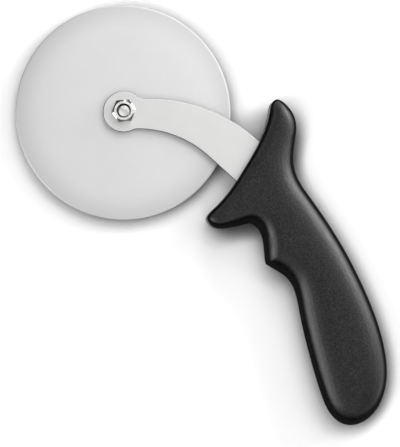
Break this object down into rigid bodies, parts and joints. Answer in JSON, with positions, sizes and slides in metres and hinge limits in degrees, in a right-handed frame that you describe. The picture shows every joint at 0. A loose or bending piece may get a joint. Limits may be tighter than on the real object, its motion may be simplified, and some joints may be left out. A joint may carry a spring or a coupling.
{
  "type": "pizza cutter wheel",
  "caption": "Pizza cutter: a large steel wheel on a screw and nut at the end of a flat curved arm, in a black moulded handle with a finger guard.",
  "frame": {"origin": "middle of the footprint, on the plane of the handle's flat back", "axes": "+X from the wheel's axis to the butt of the handle, +Z along the wheel's axis towards the nut"},
  "size_m": [0.2322, 0.1134, 0.019],
  "materials": {
    "handle_plastic": "fine moulded grain, semi-matt black",
    "arm_steel": "tumbled satin stainless steel",
    "wheel_steel": "fine satin stainless steel with a bright ground edge",
    "fastener_steel": "bright turned stainless steel",
    "bush_plastic": "plain off-white nylon"
  },
  "bodies": {
    "handle_and_arm": {"handle": "handle_plastic", "arm": "arm_steel", "axle_screw": "fastener_steel", "axle_nut": "fastener_steel", "arm_washer": "fastener_steel", "head_washer": "fastener_steel"},
    "wheel": {"cutting_wheel": "wheel_steel", "wheel_bush": "bush_plastic"}
  },
  "joints": [
    {"name": "wheel_spin", "type": "hinge", "parent": "handle_and_arm", "child": "wheel", "pos_m": [-0.06608, -0.00673, 0.0055], "axis": [0, 0, 1], "continuous": true}
  ]
}
